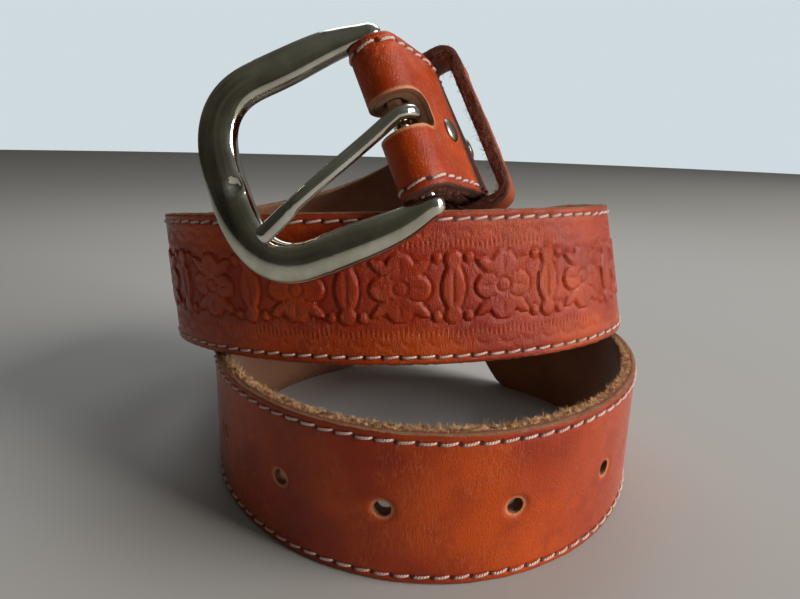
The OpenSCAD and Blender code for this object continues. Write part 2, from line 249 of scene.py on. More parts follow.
wound = np.arange(0, math.floor(W_END / MARK_STEP) + 1) * MARK_STEP
marks_q = np.concatenate([wound, W_END + np.arange(1, STRAIGHT + 1)])
marks_s = np.concatenate([[0], np.cumsum(np.linalg.norm(np.diff(route(marks_q), axis=0), axis=1))])
BAR_AT = marks_s[-1]
FOLD_LEN = math.pi * FOLD_R
STRAP_LEN = BAR_AT + FOLD_LEN + FLAP_LEN


def main_frame(s):
    q = np.interp(s, marks_s, marks_q)
    t = unit(route(q + 0.5) - route(q - 0.5))
    n, u = across(t, np.where(q > W_END, END_LEAN, turn_lean(q)))
    return route(q), t, n, u


def strap_frame(s):
    """Point, along, out and up at each distance from the tip."""
    s = np.atleast_1d(np.asarray(s, float))
    p, t, n, u = (a.copy() for a in main_frame(np.minimum(s, BAR_AT)))
    fold = (s > BAR_AT) & (s <= BAR_AT + FOLD_LEN)
    a = ((s[fold] - BAR_AT) / FOLD_R)[:, None]
    t[fold] = np.cos(a) * END_T - np.sin(a) * END_N
    n[fold] = np.cos(a) * END_N + np.sin(a) * END_T
    p[fold] = BAR_MID + FOLD_R * n[fold]
    u[fold] = END_U
    flap = s > BAR_AT + FOLD_LEN
    back = s[flap] - BAR_AT - FOLD_LEN
    fp, ft, fn, fu = main_frame(BAR_AT - back)
    drop = mix(2 * FOLD_R, STRAP_T + LAYER_GAP, smooth(back / FLAP_SETTLE))[:, None]
    p[flap], t[flap], n[flap], u[flap] = fp - drop * fn, -ft, -fn, fu
    return p, t, n, u


def back_frame(back):
    """The same on the straight behind the bar, at a distance back from it."""
    return tuple(a[0] for a in main_frame(np.array([BAR_AT - back])))


def s_at(w):
    return float(np.interp(w, marks_q, marks_s))


def to_scene(points):
    return (np.asarray(points) + ORIGIN_SHIFT) * MM


# ---- meshes and small noises
def make_mesh(name, points, faces, materials, kinds=None, lay=None, smooth_angle=60, marks=None):
    """A smooth-shaded piece; kinds are its faces' materials, lay each point's place in the leather."""
    mesh = bpy.data.meshes.new(name)
    mesh.from_pydata(to_scene(points).reshape(-1, 3).tolist(), [], faces)
    for m in materials:
        mesh.materials.append(m)
    if kinds is not None:
        mesh.polygons.foreach_set("material_index", np.asarray(kinds, np.int32))
    if lay is not None:
        attribute = mesh.attributes.new("lay", "FLOAT_VECTOR", "POINT")
        attribute.data.foreach_set("vector", np.asarray(lay, np.float32).ravel())
    for key, value in (marks or {}).items():
        mesh.attributes.new(key, "FLOAT", "POINT").data.foreach_set("value", np.asarray(value, np.float32))
    mesh.polygons.foreach_set("use_smooth", np.ones(len(mesh.polygons), bool))
    mesh.update()
    mesh.set_sharp_from_angle(angle=math.radians(smooth_angle))
    mesh.validate()
    return link(bpy.data.objects.new(name, mesh))


def ring_faces(rows, sides, flip=False):
    """Quads round a tube of rows rings."""
    r = np.arange(rows - 1)[:, None]
    c = np.arange(sides)[None]
    d = (c + 1) % sides
    corners = [r * sides + c, r * sides + d, (r + 1) * sides + d, (r + 1) * sides + c]
    quads = np.stack(corners, -1).reshape(-1, 4)
    return (quads[:, ::-1] if flip else quads).tolist()


def end_faces(rows, sides, flip=False):
    """One face over each end of such a tube."""
    first = list(range(sides))
    last = [(rows - 1) * sides + j for j in first]
    return [first, last[::-1]] if flip else [first[::-1], last]


def tube_faces(rows, sides, flip=False):
    return ring_faces(rows, sides, flip) + end_faces(rows, sides, flip)


def around(sides):
    return np.linspace(0, 2 * math.pi, sides, endpoint=False)


def value_noise(x, y, seed, cell=1.0):
    """Smooth random field of two coordinates, from -1 to 1."""
    table = np.random.default_rng(seed).uniform(-1, 1, (256, 256))
    x, y = np.asarray(x, float) / cell, np.asarray(y, float) / cell
    i, j = np.floor(x).astype(int), np.floor(y).astype(int)
    fx, fy = x - i, y - j
    fx, fy = fx * fx * (3 - 2 * fx), fy * fy * (3 - 2 * fy)

    def corner(a, b):
        return table[(i + a) % 256, (j + b) % 256]

    return mix(mix(corner(0, 0), corner(1, 0), fx), mix(corner(0, 1), corner(1, 1), fx), fy)


# ---- materials
class Shader:
    """A short way to write node trees."""

    def __init__(self, name):
        self.mat = bpy.data.materials.new(name)
        self.mat.use_nodes = True
        self.tree = self.mat.node_tree
        self.bsdf = self.tree.nodes["Principled BSDF"]

    def node(self, kind, ins=(), **props):
        return add_node(self.tree, kind, ins, **props)

    def math(self, op, *values):
        return self.node("Math", values, operation=op).outputs[0]

    def step(self, value, low, high):
        ins = {"Value": value, "From Min": low, "From Max": high}
        return self.node("MapRange", ins, interpolation_type="SMOOTHSTEP").outputs["Result"]

    def colour_mix(self, t, a, b):
        return self.node("Mix", {0: t, 6: a, 7: b}, data_type="RGBA").outputs[2]

    def layered(self, base, *layers):
        """Colours laid over base in turn, each where its mask is 1 and as strongly as its amount."""
        for mask, amount, colour in layers:
            base = self.colour_mix(self.math("MULTIPLY", mask, amount), base, colour)
        return base

    def coords(self):
        return self.node("TexCoord").outputs["Object"]

    def lay(self):
        return self.node("Attribute", attribute_name="lay").outputs["Vector"]

    def mark(self, name):
        return self.node("Attribute", attribute_name=name).outputs["Fac"]

    def scaled(self, vector, scale):
        return self.node("Mapping", {"Vector": vector, "Scale": scale}).outputs[0]

    def noise(self, vector, scale, detail, rough):
        ins = {"Vector": vector, "Scale": scale, "Detail": detail, "Roughness": rough}
        return self.node("TexNoise", ins).outputs["Fac"]

    def bump(self, height, strength, distance, below=None):
        ins = {"Height": height, "Strength": strength, "Distance": distance, "Normal": below}
        return self.node("Bump", ins).outputs[0]

    def set(self, **values):
        for key, value in values.items():
            put(self.tree, self.bsdf.inputs[key.replace("_", " ")], value)
        return self.mat


def rgb(r, g, b):
    return (r, g, b, 1.0)


def stitch_marks(sh, s, u):
    """Near 1 in the needle holes between stitches, and in the groove that the thread has pressed."""
    phase = sh.math("FRACT", sh.math("DIVIDE", s, STITCH_PITCH))
    along = sh.math("MULTIPLY", sh.math("SUBTRACT", phase, 0.5), STITCH_PITCH)
    off = sh.math("SUBTRACT", sh.math("ABSOLUTE", u), STITCH_U)
    aside = sh.math("MULTIPLY", off, 0.8)
    far = sh.math("SQRT", sh.math("ADD", sh.math("POWER", along, 2.0), sh.math("POWER", aside, 2.0)))
    hole = sh.step(far, 0.66, 0.34)
    groove = sh.step(sh.math("ABSOLUTE", off), 1.0, 0.35)
    return hole, groove


def grain_leather():
    sh = Shader("leather_grain")
    lay = sh.lay()
    split = sh.node("SeparateXYZ", [lay])
    s, u = split.outputs[0], split.outputs[1]
    cloud = sh.noise(sh.coords(), 34.0, 3.0, 0.5)
    patch = sh.noise(sh.coords(), 95.0, 4.0, 0.6)
    streak = sh.noise(sh.scaled(lay, (1.0, 0.30, 0.3)), 2.2, 5.0, 0.6)
    scuffs = sh.noise(sh.scaled(lay, (1.6, 0.22, 1.0)), 0.9, 6.0, 0.7)
    pebble = sh.noise(lay, 3.4, 3.0, 0.6)
    cells = sh.node("TexVoronoi", {"Vector": sh.scaled(lay, (1.0, 0.55, 1.0)), "Scale": 2.6}, feature="F1")
    pores = sh.step(cells.outputs["Distance"], 0.0, 0.55)
    hole, groove = stitch_marks(sh, s, u)
    # fine creases, only in worn places
    crease = sh.noise(sh.scaled(lay, (1.0, 0.17, 1.0)), 0.95, 4.0, 0.55)
    crease = sh.step(sh.math("ABSOLUTE", sh.math("SUBTRACT", crease, 0.5)), 0.030, 0.0)
    worn = sh.step(sh.noise(sh.coords(), 60.0, 2.0, 0.5), 0.42, 0.60)
    crease = sh.math("MULTIPLY", crease, worn)
    base = sh.colour_mix(sh.step(cloud, 0.30, 0.72), rgb(0.33, 0.023, 0.002), rgb(0.60, 0.076, 0.004))
    base = sh.layered(
        base,
        (sh.step(patch, 0.45, 0.75), 0.55, rgb(0.24, 0.020, 0.004)),
        (sh.step(streak, 0.50, 0.70), 0.26, rgb(0.20, 0.016, 0.003)),
        (sh.step(scuffs, 0.66, 0.80), 0.18, rgb(0.74, 0.24, 0.09)),
        (crease, 0.45, rgb(0.70, 0.19, 0.06)),
        (sh.step(pebble, 0.5, 0.72), 0.28, rgb(0.22, 0.018, 0.003)),
        # a pale ring round the holes and the slot: painted highlight
        (sh.mark("rim"), 0.75, rgb(0.80, 0.38, 0.18)),
        (sh.mark("stain"), 0.60, rgb(0.31, 0.015, 0.004)),
        (sh.step(sh.math("ABSOLUTE", u), 18.4, 19.6), 0.5, rgb(0.26, 0.03, 0.012)),
        # a darker line in the stitch groove, and painted shade in the needle holes, near black
        (groove, 0.25, rgb(0.25, 0.03, 0.010)),
        (hole, 0.9, rgb(0.035, 0.006, 0.003)),
    )
    height = sh.math("MULTIPLY_ADD", crease, -0.5, sh.math("MULTIPLY", streak, 0.5))
    height = sh.math("ADD", height, sh.math("MULTIPLY", pebble, 0.7))
    height = sh.math("ADD", height, sh.math("MULTIPLY", pores, 0.35))
    dents = sh.math("ADD", hole, sh.math("MULTIPLY", groove, 0.45))
    fine = sh.bump(height, 0.7, 0.00028)
    rough = sh.math("ADD", 0.17, sh.math("MULTIPLY", streak, 0.10))
    rough = sh.math("ADD", sh.math("MULTIPLY", sh.step(patch, 0.3, 0.8), 0.14), rough)
    return sh.set(
        Base_Color=base,
        Roughness=rough,
        Normal=sh.bump(sh.math("MULTIPLY", dents, -1.0), 0.7, 0.0004, fine),
        Coat_Weight=0.55,
        Coat_Roughness=0.13,
        Coat_Normal=sh.bump(height, 0.8, 0.00028),
        Specular_IOR_Level=0.08,
        Specular_Tint=rgb(1.0, 0.60, 0.42),
    )


def raw_edge(name, depth):
    """Cut edge: tan fibres, redder towards the grain side; depth darkens it, most where the fibre pattern is
    low.
    """
    sh = Shader(name)
    lay = sh.lay()
    n = sh.node("SeparateXYZ", [lay]).outputs[2]
    fibres = sh.noise(sh.scaled(lay, (1.4, 1.4, 2.4)), 3.2, 5.0, 0.7)
    cloud = sh.noise(sh.scaled(lay, (0.16, 1.0, 0.5)), 1.0, 3.0, 0.6)
    red = sh.math("MULTIPLY", sh.step(n, 0.1, 0.5), sh.step(n, 1.15, 0.8))
    tan = sh.colour_mix(sh.step(fibres, 0.40, 0.62), rgb(0.22, 0.080, 0.030), rgb(0.74, 0.42, 0.20))
    tan = sh.layered(
        tan,
        (sh.step(cloud, 0.46, 0.68), 0.6, rgb(0.36, 0.09, 0.03)),
        (red, 0.8, rgb(0.33, 0.07, 0.03)),
        (sh.step(n, 1.62, 1.82), 1.0, rgb(0.36, 0.05, 0.02)),
        (sh.step(fibres, 0.75, 0.40), depth, rgb(0.085, 0.016, 0.008)),
    )
    return sh.set(Base_Color=tan, Roughness=0.85, Normal=sh.bump(fibres, 1.0, 0.0009))


def flesh_side():
    sh = Shader("leather_flesh_side")
    lay = sh.lay()
    nap = sh.noise(lay, 1.1, 6.0, 0.7)
    cloud = sh.noise(sh.coords(), 40.0, 3.0, 0.5)
    streak = sh.noise(sh.scaled(lay, (0.25, 1.3, 1.0)), 1.2, 4.0, 0.6)
    base = sh.colour_mix(sh.step(cloud, 0.3, 0.7), rgb(0.22, 0.085, 0.038), rgb(0.34, 0.15, 0.070))
    base = sh.layered(
        base,
        (sh.step(nap, 0.45, 0.75), 0.5, rgb(0.42, 0.20, 0.10)),
        (sh.step(streak, 0.5, 0.75), 0.35, rgb(0.16, 0.055, 0.026)),
    )
    normal = sh.bump(nap, 0.5, 0.0003)
    return sh.set(Base_Color=base, Roughness=0.82, Normal=normal, Sheen_Weight=0.25, Sheen_Roughness=0.5)


def thread_cotton():
    sh = Shader("waxed_thread")
    split = sh.node("SeparateXYZ", [sh.lay()])
    along, turn = split.outputs[0], split.outputs[1]
    ply = sh.math("SINE", sh.math("ADD", sh.math("MULTIPLY", along, 9.0), sh.math("MULTIPLY", turn, 2.0)))
    dirt = sh.noise(sh.coords(), 260.0, 3.0, 0.6)
    base = sh.colour_mix(sh.step(dirt, 0.35, 0.75), rgb(0.92, 0.76, 0.68), rgb(0.70, 0.42, 0.34))
    # darker in the troughs between the plies: painted shade
    base = sh.colour_mix(sh.step(ply, -0.3, -1.0), base, rgb(0.55, 0.30, 0.23))
    return sh.set(Base_Color=base, Roughness=0.55, Normal=sh.bump(ply, 0.5, 0.0002), Sheen_Weight=0.3)


def loose_fibre(name, dark, light):
    sh = Shader(name)
    shade = sh.noise(sh.coords(), 700.0, 1.0, 0.5)
    return sh.set(Base_Color=sh.colour_mix(sh.step(shade, 0.3, 0.7), dark, light), Roughness=0.8)


def keeper_face():
    sh = Shader("keeper_face")
    patch = sh.noise(sh.coords(), 240.0, 4.0, 0.6)
    fine = sh.noise(sh.coords(), 1500.0, 3.0, 0.6)
    base = sh.colour_mix(sh.step(patch, 0.3, 0.7), rgb(0.24, 0.040, 0.018), rgb(0.40, 0.085, 0.030))
    return sh.set(Base_Color=base, Roughness=0.5, Normal=sh.bump(fine, 0.3, 0.0003))


def keeper_cut():
    sh = Shader("keeper_cut_edge")
    pull = sh.noise(sh.scaled(sh.lay(), (0.55, 1.6, 1.6)), 1.6, 6.0, 0.72)
    patch = sh.noise(sh.coords(), 300.0, 3.0, 0.6)
    base = sh.colour_mix(sh.step(pull, 0.34, 0.68), rgb(0.060, 0.014, 0.008), rgb(0.30, 0.085, 0.042))
    base = sh.layered(base, (sh.step(patch, 0.5, 0.8), 0.4, rgb(0.36, 0.12, 0.06)))
    return sh.set(Base_Color=base, Roughness=0.8, Normal=sh.bump(pull, 0.9, 0.0007))


def nickel(name, dark, light, rough_low, rough_high):
    sh = Shader(name)
    smear = sh.noise(sh.coords(), 110.0, 4.0, 0.6)
    turned = {"Vector": sh.coords(), "Scale": (1.0, 1.0, 9.0), "Rotation": (0.4, 0.7, 0.2)}
    scratch = sh.noise(sh.node("Mapping", turned).outputs[0], 900.0, 2.0, 0.5)
    span = {"Value": smear, "From Min": 0.3, "From Max": 0.75, "To Min": rough_low, "To Max": rough_high}
    rough = sh.node("MapRange", span).outputs["Result"]
    base = sh.colour_mix(sh.step(smear, 0.3, 0.75), dark, light)
    return sh.set(Base_Color=base, Metallic=1.0, Roughness=rough, Normal=sh.bump(scratch, 0.06, 0.00006))


GRAIN, FLESH, THREAD = grain_leather(), flesh_side(), thread_cotton()
EDGE, DARK_EDGE = raw_edge("leather_cut_edge", 0.15), raw_edge("leather_dark_edge", 1.25)
TAN_FIBRE = loose_fibre("loose_fibre_tan", rgb(0.32, 0.12, 0.045), rgb(1.0, 0.68, 0.37))
RED_FIBRE = loose_fibre("loose_fibre_red", rgb(0.10, 0.022, 0.012), rgb(0.34, 0.10, 0.05))
KEEPER_FACE, KEEPER_CUT = keeper_face(), keeper_cut()
BUCKLE_METAL = nickel("polished_dark_nickel", rgb(0.58, 0.56, 0.45), rgb(0.86, 0.84, 0.73), 0.06, 0.16)
PRONG_METAL = nickel("polished_wire", rgb(0.68, 0.66, 0.58), rgb(0.86, 0.84, 0.77), 0.07, 0.15)
RIVET_METAL = nickel("antique_nickel", rgb(0.26, 0.22, 0.18), rgb(0.40, 0.36, 0.31), 0.22, 0.38)


# ---- tooled ornament of the upper turn
TOOL_FROM, TOOL_TO = s_at(392), s_at(632)
MOTIF_PITCH, TICK_PITCH, SCALLOP_PITCH = 27.0, 1.28, 6.4
RELIEF_H, RELIEF_BEVEL, PRESS_W = 0.42, 0.55, 0.42
TICK_ROWS = ((11.6, 1), (-11.4, -1))


def bump_at(off, width):
    """1 where off is 0, falling away within about width."""
    return np.exp(-((off / width) ** 2))


def circle_gap(x, y, cx, cy, r):
    return np.hypot(x - cx, y - cy) - r


def flower(x, y):
    """Distance outside a four-lobed flower with pointed leaves at its corners; negative inside."""
    d = circle_gap(x, y, 0, 0, 3.4)
    for cx, cy, r in ((4.4, 0, 3.3), (-4.4, 0, 3.3), (0, 5.4, 3.6), (0, -5.4, 3.6)):
        d = np.minimum(d, circle_gap(x, y, cx, cy, r))
    for sx in (-1, 1):
        for sy in (-1, 1):
            a = circle_gap(x, y, sx * 7.2, sy * 1.2, 6.4)
            b = circle_gap(x, y, sx * 1.2, sy * 9.6, 6.8)
            d = np.minimum(d, np.maximum(a, b))
    return d


def spear(x, y):
    """Distance outside a tall leaf with a waist and two berries beside each end; negative inside."""
    d = np.maximum(circle_gap(x, y, 6.6, 0, 9.6), circle_gap(x, y, -6.6, 0, 9.6))
    for sy in (-1, 1):
        d = np.minimum(d, circle_gap(x, y, 0, sy * 7.2, 2.2))
        for sx in (-1, 1):
            d = np.minimum(d, circle_gap(x, y, sx * 4.1, sy * 7.6, 1.25))
    return d


def relief(gap):
    """Raised plateau inside a shape, a bevelled flank and a pressed line round it."""
    flank = smooth(0.5 - gap / RELIEF_BEVEL)
    return RELIEF_H * flank - 0.36 * bump_at(gap - 0.55 * RELIEF_BEVEL, PRESS_W)


def motif(s, u):
    """Place in the flower's and the spear's repeat, distance outside both, and 1 in the tooled stretch."""
    inside = smooth((s - TOOL_FROM) / 3) * smooth((TOOL_TO - s) / 3)
    k = (s - TOOL_FROM) / MOTIF_PITCH
    x = (k - np.floor(k) - 0.5) * MOTIF_PITCH
    x2 = (k + 0.5 - np.floor(k + 0.5) - 0.5) * MOTIF_PITCH
    y = u - 0.4
    return x, x2, y, np.minimum(flower(x, y), spear(x2, y)), inside


def stain(s, u):
    """How much dark dye stays in the sunk ground round the raised motifs."""
    gap, inside = motif(s, u)[3:]
    blot = 0.75 + 0.25 * value_noise(s, u, 12, 6.0)
    return inside * smooth((11.6 - np.abs(u)) / 2.4) * (0.35 + 0.65 * smooth(gap / 0.7)) * blot


def tooling(s, u):
    """Height of the stamped and raised pattern over the plain face."""
    x, x2, y, gap, inside = motif(s, u)
    h = relief(gap)
    # the flower's eye and veins, and the spear's vein
    h -= 0.32 * bump_at(circle_gap(x, y, 0, 0, 1.9), PRESS_W)
    for cx, cy, wide, high in ((4.7, 0, 1.5, PRESS_W), (0, 5.9, PRESS_W, 1.6)):
        for sign in (1, -1):
            h -= 0.26 * np.exp(-(((x - sign * cx) / wide) ** 2 + ((y - sign * cy) / high) ** 2))
    h -= 0.30 * bump_at(x2, PRESS_W) * smooth((5.2 - np.abs(y)) / 1.5)
    # rows of short ticks and a scalloped line above and below
    tick = 0.5 + 0.5 * np.cos(2 * math.pi * (s - TOOL_FROM) / TICK_PITCH)
    for row, sign in TICK_ROWS:
        wave = row + sign * 0.55 * np.cos(2 * math.pi * (s - TOOL_FROM) / (SCALLOP_PITCH * 1.5))
        h -= 0.22 * tick ** 2 * smooth((1.25 - np.abs(u - wave)) / 0.6)
        c = (s - TOOL_FROM) / SCALLOP_PITCH
        cx = (c - np.floor(c) - 0.5) * SCALLOP_PITCH
        arc = np.hypot(cx, (u - sign * 12.7) * 1.15) - 2.75
        outer = smooth((sign * (u - sign * 12.9)) / 0.6)
        h -= 0.24 * bump_at(arc, PRESS_W) * outer
    return h * inside


def face_height(s, u):
    """All shape of the grain face over its plain sweep, in millimetres."""
    h = tooling(s, u)
    h = h + 0.10 * value_noise(s, u, 3, 17.0) + 0.045 * value_noise(s, u * 0.4, 4, 4.0)
    h = h - 0.22 * bump_at(np.abs(u) - STITCH_U, 0.75) * (s > TIP_LEN)
    for hole in HOLES:
        r = np.hypot(s - hole, u)
        h = h - 0.42 * bump_at(r - HOLE_R, 0.9) * (r > 0.5 * HOLE_R) + 0.10 * bump_at(r - 2 * HOLE_R, 0.9)
    return h * smooth((20.2 - np.abs(u)) / 1.6)


# ---- the strap
SLOT_HALF, SLOT_CORNER, SLOT_FROM, SLOT_TO = 4.5, 3.4, -5.4, FOLD_LEN + 6.8
EDGE_N = np.array([1.74, 1.40, 0.6, -0.3, -1.2, -1.7])
EDGE_U = np.array([19.72, 19.93, 20.0, 20.0, 19.97, 19.75])
EDGE_POINTS = len(EDGE_N)
PLAIN_STEP, HOLE_STEP, FOLD_STEP = 3.0, 0.43, 0.55
COARSE = 4
DARK_CUT_LEN = 60
GRAIN_KIND, CUT_KIND, FLESH_KIND, DARK_CUT_KIND = range(4)


def slot_gap(s, u):
    """Distance outside the rounded slot for the prong."""
    mid, half = BAR_AT + (SLOT_FROM + SLOT_TO) / 2, (SLOT_TO - SLOT_FROM) / 2
    a, b = np.abs(s - mid) - half + SLOT_CORNER, np.abs(u) - SLOT_HALF + SLOT_CORNER
    return np.hypot(np.maximum(a, 0), np.maximum(b, 0)) + np.minimum(np.maximum(a, b), 0) - SLOT_CORNER


def slot_snap(s, u):
    """Moves points onto the slot's outline, down the slope of their distance from it."""
    e = 1e-3
    for _ in range(4):
        d = slot_gap(s, u)
        gs, gu = (slot_gap(s + e, u) - d) / e, (slot_gap(s, u + e) - d) / e
        s, u = s - d * gs, u - d * gu
    return s, u


def strap_lines():
    """Distances of the cross-sections, and which of them have the fine inner side."""
    cuts = [(hole - 2 * HOLE_R, hole + 2 * HOLE_R, HOLE_STEP) for hole in HOLES]
    cuts.append((TOOL_FROM, TOOL_TO, TICK_PITCH / 3))
    cuts.append((BAR_AT - 9, BAR_AT + FOLD_LEN + 10.5, FOLD_STEP))
    parts = [np.linspace(0, TIP_LEN, 15)]
    at = TIP_LEN
    for a, b, step in sorted(cuts):
        parts += [np.arange(at, a, PLAIN_STEP)[1:], np.arange(a, b, step)]
        at = parts[-1][-1]
    parts.append(np.linspace(at, STRAP_LEN, int((STRAP_LEN - at) / PLAIN_STEP) + 2)[1:])
    s = np.concatenate(parts)
    fine = np.zeros(len(s), bool)
    for a, b, _ in cuts:
        if a != TOOL_FROM:
            fine |= (s > a - 3) & (s < b + 3)
    return s, fine


def strap_sheet(s_lines):
    """Places (s, u) of the face's points, the share of full width, and which cells are cut out."""
    near = np.linspace(-3.0, 3.0, 15)
    side = np.concatenate([np.linspace(3.0, 16.4, 22)[1:], np.linspace(16.4, 19.4, 5)[1:]])
    u_lines = np.concatenate([-side[::-1], near, side])
    tip = TIP_BLUNT + (20 - TIP_BLUNT) * np.sin(np.pi / 2 * s_lines / TIP_LEN)
    half = np.where(s_lines >= TIP_LEN, 1.0, tip / 20)
    S = np.repeat(s_lines[:, None], len(u_lines), 1)
    U = half[:, None] * u_lines[None]
    s_mid, u_mid = (S[1:, 1:] + S[:-1, :-1]) / 2, (U[1:, 1:] + U[:-1, :-1]) / 2
    gone = slot_gap(s_mid, u_mid) < 0
    for hole in HOLES:
        gone |= np.hypot(s_mid - hole, u_mid) < HOLE_R
    # points between kept and cut cells move onto the outline of the hole or the slot
    touch, kept = np.zeros(S.shape, bool), np.zeros(S.shape, bool)
    rows, cols = gone.shape
    for i in (0, 1):
        for j in (0, 1):
            touch[i:rows + i, j:cols + j] |= gone
            kept[i:rows + i, j:cols + j] |= ~gone
    rim = touch & kept
    for hole in HOLES:
        k = rim & (np.hypot(S - hole, U) < HOLE_R + 2)
        r = np.hypot(S[k] - hole, U[k])
        ds, du = (S[k] - hole) / r, U[k] / r
        S[k], U[k] = hole + ds * HOLE_R, du * HOLE_R
    k = rim & (np.abs(S - BAR_AT - FOLD_LEN / 2) < 25)
    S[k], U[k] = slot_snap(S[k], U[k])
    return S, U, half, gone


def strap_rings(s_lines, fine, S, U, half):
    """Points of every cross-section, their lay, and where each one's four runs of points start."""
    m = S.shape[1]
    p, _, n, u = (a.reshape(*S.shape, 3) for a in strap_frame(S.ravel()))
    lift = face_height(S, U) * half[:, None]
    outer = p + (STRAP_T / 2 + lift)[:, :, None] * n + U[:, :, None] * u
    nap = 0.06 * value_noise(S, U, 8, 2.0)
    inner = p + (-STRAP_T / 2 + nap)[:, :, None] * n + U[:, :, None] * u
    mid, _, out, up = strap_frame(s_lines)

    def edge(sign):
        jitter = 0.16 * value_noise(s_lines[:, None] + 0 * EDGE_N, EDGE_N[None] * 9 + sign * 40, 9, 1.3)
        rise = sign * (EDGE_U[None] * half[:, None] + jitter)
        return mid[:, None] + EDGE_N[None, :, None] * out[:, None] + rise[:, :, None] * up[:, None], rise

    def place(s, u, n):
        return np.stack(np.broadcast_arrays(s, u, n), -1)

    top, top_u = edge(1)
    bottom, bottom_u = edge(-1)
    points, lay, starts = [], [], []
    count = 0
    for i, s in enumerate(s_lines):
        back = np.arange(0, m, 1 if fine[i] else COARSE)[::-1]
        lengths = [m, EDGE_POINTS, len(back), EDGE_POINTS]
        starts.append([count + sum(lengths[:k]) for k in range(4)])
        count += sum(lengths)
        points += [outer[i], top[i], inner[i, back], bottom[i][::-1]]
        lay += [place(S[i], U[i], STRAP_T / 2), place(s, top_u[i], EDGE_N)]
        lay += [place(S[i, back], U[i, back], -STRAP_T / 2), place(s, bottom_u[i], EDGE_N)[::-1]]
    return np.concatenate(points), np.concatenate(lay), starts


def strap_faces(s_lines, fine, gone, starts, count):
    """Faces between neighbouring cross-sections and in the cut-outs, with the material of each."""
    m = gone.shape[1] + 1
    faces, kinds = [], []

    def add(kind, *corners):
        faces.append(corners)
        kinds.append(kind)

    def face_at(i, j):
        return starts[i][0] + j

    def inner_at(i, j):
        """Inner point of cross-section i at fine column j."""
        return starts[i][2] + (m - 1 - j if fine[i] else (m - 1 - j) // COARSE)

    def add_edge(near, far, edge_kinds):
        for k, kind in enumerate(edge_kinds):
            add(kind, near[k], near[k + 1], far[k + 1], far[k])

    def top_chain(ring):
        return [ring[0] + m - 1, *range(ring[1], ring[1] + EDGE_POINTS), ring[2]]

    def bottom_chain(ring):
        return [ring[3] - 1, *range(ring[3], ring[3] + EDGE_POINTS), ring[0]]

    for i in range(len(s_lines) - 1):
        # cut edges from 60 mm before the bar to the strap's end use the darker edge material
        cut = [DARK_CUT_KIND if s_lines[i] > BAR_AT - DARK_CUT_LEN else CUT_KIND] * EDGE_POINTS
        for j in range(m - 1):
            if not gone[i, j]:
                add(GRAIN_KIND, face_at(i, j), face_at(i, j + 1), face_at(i + 1, j + 1), face_at(i + 1, j))
        add_edge(top_chain(starts[i]), top_chain(starts[i + 1]), [GRAIN_KIND] + cut)
        step = 1 if fine[i] and fine[i + 1] else COARSE
        for j in range(0, m - 1, step):
            if not gone[i, j]:
                near = [inner_at(i, c) for c in range(j + step, j - 1, -1 if fine[i] else -step)]
                far = [inner_at(i + 1, c) for c in range(j, j + step + 1, 1 if fine[i + 1] else step)]
                add(FLESH_KIND, *near, *far)
        add_edge(bottom_chain(starts[i]), bottom_chain(starts[i + 1]), cut + [GRAIN_KIND])
    # walls of the holes and the slot, on each side of a cut cell that has a kept neighbour
    for i, j in np.argwhere(gone).tolist():
        walls = (
            (gone[i, j - 1], (i, j), (i + 1, j)),
            (gone[i, j + 1], (i + 1, j + 1), (i, j + 1)),
            (gone[i - 1, j], (i, j + 1), (i, j)),
            (gone[i + 1, j], (i + 1, j), (i + 1, j + 1)),
        )
        for open_beyond, a, b in walls:
            if not open_beyond:
                add(CUT_KIND, face_at(*a), face_at(*b), inner_at(*b), inner_at(*a))
    add(CUT_KIND, *range(starts[1][0])[::-1])
    add(CUT_KIND, *range(starts[-1][0], count))
    return faces, kinds


def make_strap():
    s_lines, fine = strap_lines()
    S, U, half, gone = strap_sheet(s_lines)
    points, lay, starts = strap_rings(s_lines, fine, S, U, half)
    points[:, 2] = np.maximum(points[:, 2], 0.0)
    faces, kinds = strap_faces(s_lines, fine, gone, starts, len(points))
    # points inside the cut-outs belong to no face and are left out
    used = np.zeros(len(points), bool)
    for f in faces:
        used[list(f)] = True
    index = np.cumsum(used) - 1
    faces = [tuple(index[list(f)].tolist()) for f in faces]
    s, u, n = lay[used].T
    # rim is a pale ring round the slot and each hole, painted there as a highlight
    rim = bump_at(slot_gap(s, u) - 0.3, 0.35)
    for hole in HOLES:
        rim = np.maximum(rim, bump_at(np.hypot(s - hole, u) - HOLE_R - 0.25, 0.35))
    marks = {"rim": rim * (n > 1), "stain": stain(s, u) * (n > 1)}
    materials = [GRAIN, EDGE, FLESH, DARK_EDGE]
    strap = make_mesh("strap_leather", points[used], faces, materials, kinds, lay[used], 42, marks)
    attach(strap, "strap")
    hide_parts("strap", "folded_end")


def sweep_many(name, rings, material, lay, body, replaced=()):
    """One piece from many short tubes, closed at both ends; rings is (tubes, rings, sides, 3)."""
    tubes, rows, sides = rings.shape[:3]
    starts = np.arange(tubes) * rows * sides
    faces = (np.array(ring_faces(rows, sides))[None] + starts[:, None, None]).reshape(-1, 4).tolist()
    for start in starts.tolist():
        faces += [[start + v for v in f] for f in end_faces(rows, sides)]
    obj = make_mesh(name, rings, faces, [material], lay=lay, smooth_angle=80)
    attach(obj, body)
    if replaced:
        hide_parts(*replaced)


